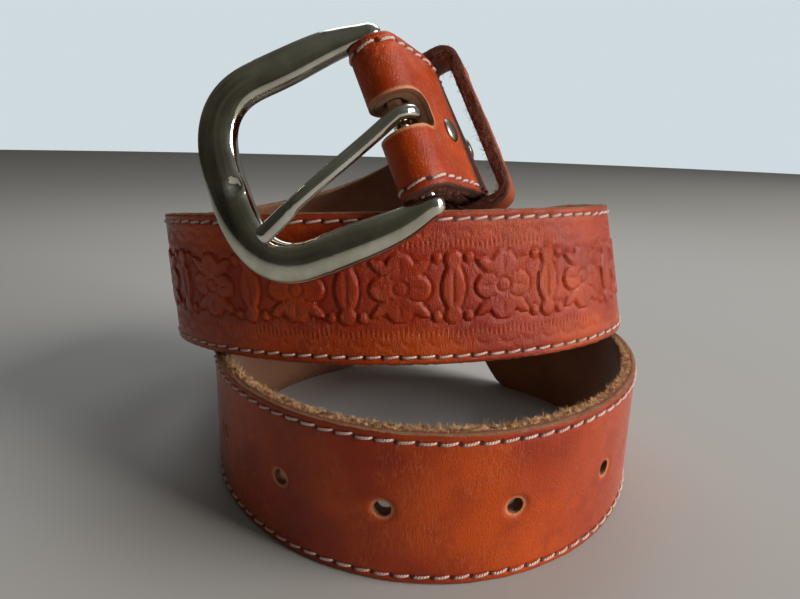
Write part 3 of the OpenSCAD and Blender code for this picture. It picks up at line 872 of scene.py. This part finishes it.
def make_stitches(sign, name, node):
    """Slanting stitches, each arched over the face and diving into its needle holes."""
    first, last = math.ceil(TIP_LEN / STITCH_PITCH), math.floor((STRAP_LEN - 3) / STITCH_PITCH)
    mids = np.arange(first, last) * STITCH_PITCH
    rows, sides, reach = 9, 8, 2.02
    k = np.linspace(-1, 1, rows)
    wobble = np.random.default_rng(21 + sign).uniform(-0.12, 0.12, (len(mids), 3))
    s = mids[:, None] + k[None] * reach * (1 + wobble[:, :1] * 0.3)
    u = sign * STITCH_U - (0.30 + wobble[:, 1:2]) * k[None] + wobble[:, 2:3]
    p, _, n, up = (a.reshape(len(mids), rows, 3) for a in strap_frame(s.ravel()))
    out = STRAP_T / 2 + 0.10 - 0.55 * np.abs(k[None]) ** 3.5 + 0 * s
    radius = 0.34 * (1 - 0.35 * np.abs(k) ** 4)
    centre = p + out[:, :, None] * n + u[:, :, None] * up
    a = around(sides)
    ring = np.cos(a)[:, None] * n[:, :, None] + np.sin(a)[:, None] * up[:, :, None]
    rings = centre[:, :, None] + ring * radius[None, :, None, None]
    lay = np.stack(np.broadcast_arrays((k * reach)[None, :, None], a[None, None, :], mids[:, None, None]), -1)
    sweep_many(name, rings, THREAD, lay, "strap", (node,))


# ---- loose fibres
def fuzz(name, root, along, aside, lengths, radius, material, body, slot, seed):
    """Short curved hairs: root points, main direction, a direction to stray in and lengths."""
    local = np.random.default_rng(seed)
    count, rows, sides = len(root), 4, 3
    stray = local.normal(0, 1.0, (count, 1)) * aside + local.normal(0, 0.55, (count, 3))
    curl = local.normal(0, 0.55, (count, 3))
    k = np.linspace(0, 1, rows)[None, :, None]
    bend = k * along[:, None] + k * stray[:, None] + k ** 2 * curl[:, None]
    path = root[:, None] + bend * lengths[:, None, None]
    t = unit(np.gradient(path, axis=1))
    x = unit(np.cross(t, local.normal(0, 1, (count, 1, 3))))
    y = np.cross(t, x)
    a = around(sides)
    size = radius * (1 - 0.75 * np.linspace(0, 1, rows))[None, :, None, None]
    ring = np.cos(a)[:, None] * x[:, :, None] + np.sin(a)[:, None] * y[:, :, None]
    rings = path[:, :, None] + size * ring
    sweep_many(name, rings, material, np.zeros_like(rings), body)


# Each stretch of loose fibres: from, to, upper (1) or lower (-1) edge, how many, and their length.
NAP = [(s_at(66), s_at(246), 1, 8700, 0.34), (s_at(250), s_at(330), 1, 500, 0.35)]
NAP += [(s_at(640), s_at(800), 1, 500, 0.25), (s_at(150), s_at(250), -1, 160, 0.2)]
FOLD_NAP = [(BAR_AT - 16, BAR_AT + 10, -1, 900, 0.28), (BAR_AT + 10, STRAP_LEN, -1, 500, 0.25)]
PILE = [(s_at(66), s_at(246), 1, 9800, 0.24)]


def edge_fibres():
    """Raw nap, thick on the upper edge of the lower turn and thin on the other cut edges."""
    local = np.random.default_rng(31)
    pieces = (
        ("edge_fibres", NAP, TAN_FIBRE, 32),
        ("fold_fibres", FOLD_NAP, RED_FIBRE, 36),
        ("edge_pile", PILE, TAN_FIBRE, 38),
    )
    for name, groups, material, seed in pieces:
        rows = []
        for a, b, sign, count, size in groups:
            s = local.uniform(a, b, count)
            depth = local.triangular(-1.95, -1.2, 0.7, count)
            p, t, n, u = strap_frame(s)
            root = p + depth[:, None] * n + sign * 19.9 * u
            length = size * local.gamma(3.0, 0.33, count).clip(0.2, 2.4)
            rows.append((root, sign * u - 0.35 * n, t, length))
        joined = [np.concatenate(column) for column in zip(*rows)]
        fuzz(name, *joined, 0.080, material, "strap", "strap_leather", seed)


# ---- buckle
BUCKLE_TURN = rad(FRAME_FOLD)
BUCKLE_X = math.cos(BUCKLE_TURN) * END_T - math.sin(BUCKLE_TURN) * END_N
BUCKLE_Z = math.cos(BUCKLE_TURN) * END_N + math.sin(BUCKLE_TURN) * END_T
BUCKLE_Y = -END_U
FRAME_LEN, FRAME_HALF, BOW_X, WINDOW_X, WINDOW_HALF, WINDOW_END = 52.8, 29.5, 30.0, 28.0, 19.2, 41.8
LEG_INNER, LEG_BACK, LEG_STOP, BACK_H, BAR_END_BACK_H = 20.4, 35.0, 33.3, 1.3, 2.5
LEG_ROWS, BOW_ROWS = 75, 141
LEG_TIP, LEG_TIP_W = 0.905, 5.3
FRONT_H, CREST_SKEW = 3.35, 0.26
REST_DEPTH, REST_R, REST_RIM_R, REST_RIM_H = 1.7, 1.75, 2.35, 0.32
PRONG_SKEW, SHANK_LEN, TIP_END, SHANK_Z, TIP_Z = rad(20.6), 32.4, 44.4, 6.1, 5.0
WIRE_R, TIP_R, WIRE_FLAT, TIP_FLAT, EYE_R = 1.92, 2.22, 0.86, 0.64, 3.88


def from_buckle(points):
    points = np.asarray(points, float)
    return BAR_MID + points[..., :1] * BUCKLE_X + points[..., 1:2] * BUCKLE_Y + points[..., 2:] * BUCKLE_Z


def power_arc(a, x0, length, half, n):
    return np.stack([x0 + length * np.cos(a) ** (2 / n), half * np.sign(a) * np.sin(np.abs(a)) ** (2 / n)], 1)


def frame_rings():
    """Outer and inner outline points, the depth behind the middle plane, and 0 to 1 along each leg."""
    t = 1 - (1 - np.linspace(1, 0, LEG_ROWS + 1)[:-1]) ** 1.35
    side = []
    for sign in (-1, 1):
        xo = BOW_X - t * LEG_STOP
        xi = mix(WINDOW_X, BOW_X - LEG_STOP, t)
        yo = sign * FRAME_HALF * np.maximum(0, 1 - np.abs((BOW_X - xo) / LEG_BACK) ** 4) ** 0.25
        yi = sign * mix(WINDOW_HALF, LEG_INNER, smooth(t / 0.8))
        taper = np.abs(yi) + LEG_TIP_W * (1 + 0.55 * np.clip(1 - t, 0, 1))
        # the wider of the bow's curve and the leg's taper, with a soft change between them
        yo = sign * np.log(np.exp(np.abs(yo)) + np.exp(taper))
        back = mix(BACK_H, BAR_END_BACK_H, smooth((t - 0.6) / 0.4))
        side.append([np.stack([xo, yo], 1), np.stack([xi, yi], 1), back, t])
    a = np.linspace(-math.pi / 2, math.pi / 2, BOW_ROWS)
    bow = [
        power_arc(a, BOW_X, FRAME_LEN - BOW_X, FRAME_HALF, 2.5),
        power_arc(a, WINDOW_X, WINDOW_END - WINDOW_X, WINDOW_HALF, 3),
        np.full(BOW_ROWS, BACK_H),
        np.zeros(BOW_ROWS),
    ]
    return [np.concatenate([side[0][k], bow[k], side[1][k][::-1]]) for k in range(4)]


def make_frame():
    outer, inner, back, t = frame_rings()
    rows, sides = len(t), 44
    a = -around(sides)
    # rounded ends of the legs
    close = np.sqrt(np.maximum(0.0, 1 - np.clip((t - LEG_TIP) / (1 - LEG_TIP), 0, 1) ** 2))
    close = np.maximum(close, 0.03)
    mid, half = (outer + inner) / 2, (outer - inner) / 2 * close[:, None]
    shape = np.sign(np.cos(a)) * np.abs(np.cos(a)) ** 0.95
    shape = shape - CREST_SKEW * (1 - shape ** 2) * (np.sin(a) > 0)
    flat = mid[:, None] + half[:, None] * shape[None, :, None]
    high = np.sign(np.sin(a)) * np.abs(np.sin(a)) ** 0.92
    front = FRONT_H * (1 - 0.14 * t)
    z = np.where(np.sin(a)[None] > 0, front[:, None], back[:, None]) * high[None] * close[:, None]
    pts = np.concatenate([flat, z[:, :, None]], 2)
    # rest for the prong's tip in the bow's inner edge, with a raised rim
    d = np.hypot(pts[..., 0] - TIP_END, pts[..., 1])
    pts[..., 2] -= np.where(pts[..., 2] > 0, REST_DEPTH * np.exp(-((d / REST_R) ** 4)), 0)
    pts[..., 2] += np.where(pts[..., 2] > 0, REST_RIM_H * bump_at(d - REST_RIM_R, 0.45), 0)
    obj = make_mesh("buckle_frame_polished", from_buckle(pts), tube_faces(rows, sides), [BUCKLE_METAL])
    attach(obj, "buckle")
    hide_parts("buckle_frame")


def make_bar():
    """The round bar, which ends inside the legs."""
    y = np.array([-23.6, -23.5, -23.2, 23.2, 23.5, 23.6])
    r = np.array([1.7, 2.0, 2.1, 2.1, 2.0, 1.7])
    sides = 40
    a = around(sides)
    pts = np.stack([r[:, None] * np.cos(a), y[:, None] + 0 * a, r[:, None] * np.sin(a)], -1)
    obj = make_mesh("buckle_bar_turned", from_buckle(pts), tube_faces(len(y), sides), [BUCKLE_METAL])
    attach(obj, "buckle")
    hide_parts("buckle_bar")


def prong_path(away):
    """Middle line of the wire, from the free end of its loop: the loop, the shank, the bent tip."""
    turn = np.linspace(math.radians(-75), math.radians(90), 26)
    loop = [np.array([-EYE_R * math.cos(a), 0, EYE_R * math.sin(a)]) for a in turn]
    lead, tail = [], []
    for d in np.linspace(0.8, SHANK_LEN - 0.5, 34):
        z = (SHANK_Z - EYE_R) * smooth(d / SHANK_LEN)
        lead.append(np.array([0, 0, EYE_R + 0.05]) + away * d + np.array([0, 0, z]))
    for d in np.linspace(SHANK_LEN + 0.3, TIP_END, 22):
        z = mix(SHANK_Z, TIP_Z, (d - SHANK_LEN) / (TIP_END - SHANK_LEN))
        tail.append(away * d + np.array([0, 0, z]))
    return np.array(loop + lead + tail), len(loop), len(lead), len(tail)


def make_prong():
    """Flattened wire: a loop round the bar, a straight shank and a flatter end past a bend."""
    away = np.array([math.cos(PRONG_SKEW), math.sin(PRONG_SKEW), 0])
    path, n_loop, n_lead, n_tail = prong_path(away)
    rows, n_round, sides = len(path), n_loop + n_lead, 24
    step = np.arange(rows)
    spread, tip = np.linspace(1.95, TIP_R, 5), np.full(n_tail - 7, TIP_R)
    radius = np.concatenate([np.full(n_round, WIRE_R), spread, tip, [2.1, 1.6]])
    thinner = np.linspace(0.80, 0.66, 5)
    squash = np.concatenate([np.full(n_round, WIRE_FLAT), thinner, np.full(n_tail - 5, TIP_FLAT)])
    t = unit(np.gradient(path, axis=0))
    # the section's wide way turns from along the bar to square across the shank
    y = np.tile([[0.0, 1.0, 0.0]], (rows, 1))
    sideways = np.tile([[-away[1], away[0], 0.0]], (rows, 1))
    y = unit(mix(y, sideways, smooth((step - n_loop + 4) / 8)[:, None]))
    y = unit(y - (y * t).sum(1, keepdims=True) * t)
    up = np.cross(t, y)
    a = around(sides)
    facet = np.where(step[:, None] >= n_round + 2, 1 + 0.05 * np.cos(4 * a)[None], 1.0)
    wide = (radius[:, None] * facet * np.cos(a))[:, :, None] * y[:, None]
    thick = (radius[:, None] * squash[:, None] * facet * np.sin(a))[:, :, None] * up[:, None]
    pts = path[:, None] + (wide + thick)
    faces = tube_faces(rows, sides, flip=True)
    obj = make_mesh("prong_wire", from_buckle(pts), faces, [PRONG_METAL], smooth_angle=48)
    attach(obj, "prong")
    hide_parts("prong")


# ---- keeper
STACK_T = STRAP_T + LAYER_GAP
KEEPER_AT, KEEPER_W, KEEPER_T, KEEPER_CORNER = 28, 11.0, 3.5, 1.6
K_LOW, K_HIGH, K_HALF = -STRAP_T / 2 - STACK_T - 1.5, STRAP_T / 2 + 4.3, STRAP_W / 2 + 1.1
KP, KT, KN, KU = back_frame(KEEPER_AT)
FACE_POINTS, KEEPER_HAIRS = 8, 1500


def rounded_loop(low, high, half, r):
    """Points round a rounded rectangle, out by up, with their outward normals."""
    corners = [(high - r, half - r), (low + r, half - r), (low + r, r - half), (high - r, r - half)]
    pts, nor = [], []
    for quarter, (x, y) in enumerate(corners):
        x2, y2 = corners[(quarter + 1) % 4]
        for a in np.radians(np.linspace(90 * quarter, 90 * quarter + 90, 14)):
            pts.append((x + r * math.cos(a), y + r * math.sin(a)))
            nor.append((math.cos(a), math.sin(a)))
        c, d = np.array(pts[-1]), np.array([x2 + r * math.cos(a), y2 + r * math.sin(a)])
        steps = max(2, int(np.linalg.norm(d - c) / 0.7))
        for k in range(1, steps):
            pts.append(tuple(c + (d - c) * k / steps))
            nor.append(nor[-1])
    return np.array(pts), np.array(nor)


def keeper_section():
    """Once round the leather: across its width, depth from inner (0) to outer (1), and 1 on the cut edges."""
    reach = KEEPER_W / 2 - 0.55
    across_w = np.linspace(-reach, reach, FACE_POINTS)
    depth = np.linspace(1, 0, FACE_POINTS)
    section = [(x, 1.0, 0.0) for x in across_w]
    section += [(KEEPER_W / 2, d, 1.0) for d in depth[1:-1]]
    section += [(x, 0.0, 0.0) for x in across_w[::-1]]
    section += [(-KEEPER_W / 2, d, 1.0) for d in depth[::-1][1:-1]]
    return np.array(section)


def to_keeper(x, plane):
    return KP + x * KT + plane[..., :1] * KN + plane[..., 1:] * KU


def make_keeper():
    inner, normal = rounded_loop(K_LOW, K_HIGH, K_HALF, KEEPER_CORNER)
    rows = len(inner)
    length = np.concatenate([[0], np.cumsum(np.linalg.norm(np.diff(inner, axis=0), axis=1))])
    # the leather is a little thinner round the corners
    end_near = np.minimum(np.abs(inner[:, 0] - K_HIGH), np.abs(inner[:, 0] - K_LOW))
    corner = np.minimum(np.abs(np.abs(inner[:, 1]) - K_HALF) + end_near, 6)
    thick = KEEPER_T - 0.45 * bump_at(corner, 2.0) + 0.12 * value_noise(length, 0 * length, 41, 6.0)
    section = keeper_section()
    cols = len(section)
    x = np.tile(section[:, 0], (rows, 1))
    d = section[None, :, 1] * thick[:, None]
    cut = section[None, :, 2]
    along_loop = length[:, None] + 0 * x
    rough = value_noise(along_loop, section[None, :, 1] * 12 + x * 3, 42, 1.3)
    rough = rough + 0.6 * value_noise(along_loop, section[None, :, 1] * 20 + 7, 43, 0.6)
    x = x + np.sign(x) * cut * (0.22 * rough - 0.20)
    d = d + (1 - cut) * 0.07 * rough
    pts = to_keeper(x[:, :, None], inner[:, None] + d[:, :, None] * normal[:, None])
    # the last ring joins the first
    faces = [[v % (rows * cols) for v in f] for f in ring_faces(rows + 1, cols, flip=True)]
    kinds = np.tile(np.repeat([0, 1, 0, 1], FACE_POINTS - 1), rows)
    lay = np.stack([along_loop, x, d], -1)
    obj = make_mesh("keeper_loop", pts, faces, [KEEPER_FACE, KEEPER_CUT], kinds, lay, 50)
    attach(obj, "keeper")
    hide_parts("keeper")
    # loose fibres on the cut edges, most on the one that faces the buckle and along its inner rim
    local = np.random.default_rng(44)
    i = local.integers(0, rows, KEEPER_HAIRS)
    e = local.beta(0.8, 1.6, KEEPER_HAIRS)
    side = np.where(local.random(KEEPER_HAIRS) < 0.75, 1.0, -1.0)[:, None]
    root = to_keeper(side * (KEEPER_W / 2 - 0.25), inner[i] + (e * thick[i])[:, None] * normal[i])
    inward = -(normal[i, :1] * KN + normal[i, 1:] * KU)
    along = side * KT * 0.6 + inward * (0.9 * (1 - e))[:, None]
    tangent = normal[i, :1] * KU - normal[i, 1:] * KN
    lengths = local.gamma(3.0, 0.22, KEEPER_HAIRS).clip(0.15, 1.6)
    fuzz("keeper_fibres", root, along, tangent, lengths, 0.06, RED_FIBRE, "keeper", "keeper_leather", 45)


# ---- rivets
def make_rivet_cap(name, node, back, rise):
    """Domed cap with a rolled rim and a small dent."""
    p, t, n, u = back_frame(back)
    r = np.array([3.30, 3.36, 3.34, 3.20, 2.9, 2.5, 2.0, 1.5, 1.0, 0.5, 0.12])
    h = np.array([-0.05, 0.12, 0.28, 0.44, 0.62, 0.80, 0.95, 1.04, 1.09, 1.11, 1.115])
    sides = 48
    a = around(sides)
    along, up = r[:, None] * np.cos(a), r[:, None] * np.sin(a)
    height = h[:, None] - 0.07 * np.exp(-(((along - 1.1) ** 2 + (up + 0.6) ** 2) / 0.5))
    pts = p + rise * u + (STRAP_T / 2 + height)[:, :, None] * n + along[:, :, None] * t + up[:, :, None] * u
    obj = make_mesh(name, pts, tube_faces(len(r), sides, flip=True), [RIVET_METAL])
    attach(obj, "strap")
    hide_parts(node)


def dress_kept_nodes():
    """CAD solids that stay as they are and only get their material and shading."""
    for node in ("front_rivet_post", "rear_rivet_post", "keeper_staple"):
        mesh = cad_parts[node].data
        mesh.materials.clear()
        mesh.materials.append(RIVET_METAL)
        mesh.polygons.foreach_set("use_smooth", np.ones(len(mesh.polygons), bool))
        mesh.set_sharp_from_angle(angle=math.radians(40))


make_camera()
make_world()
make_floor()
area_light("window", (2.06, -0.56, 1.06), (0.02, -0.02, 0.06), (1.35, 1.35), 52.0, (1.0, 0.97, 0.93))
area_light("window_sill", (1.82, -1.04, 0.42), (0.02, -0.06, 0.06), (0.36, 0.60), 11.0, (1.0, 0.98, 0.95))
area_light("sky_card", (0.05, 0.35, 0.62), (0, 0, 0.06), (0.6, 0.4), 1.6, (0.88, 0.94, 1.0))
bpy.context.scene.view_settings.view_transform = "Standard"
make_strap()
make_stitches(1, "upper_edge_stitches", "upper_edge_thread")
make_stitches(-1, "lower_edge_stitches", "lower_edge_thread")
edge_fibres()
make_frame()
make_bar()
make_prong()
make_keeper()
make_rivet_cap("front_rivet_dome", "front_rivet_cap", 15, -3.2)
make_rivet_cap("rear_rivet_dome", "rear_rivet_cap", 43.2, 0)
dress_kept_nodes()
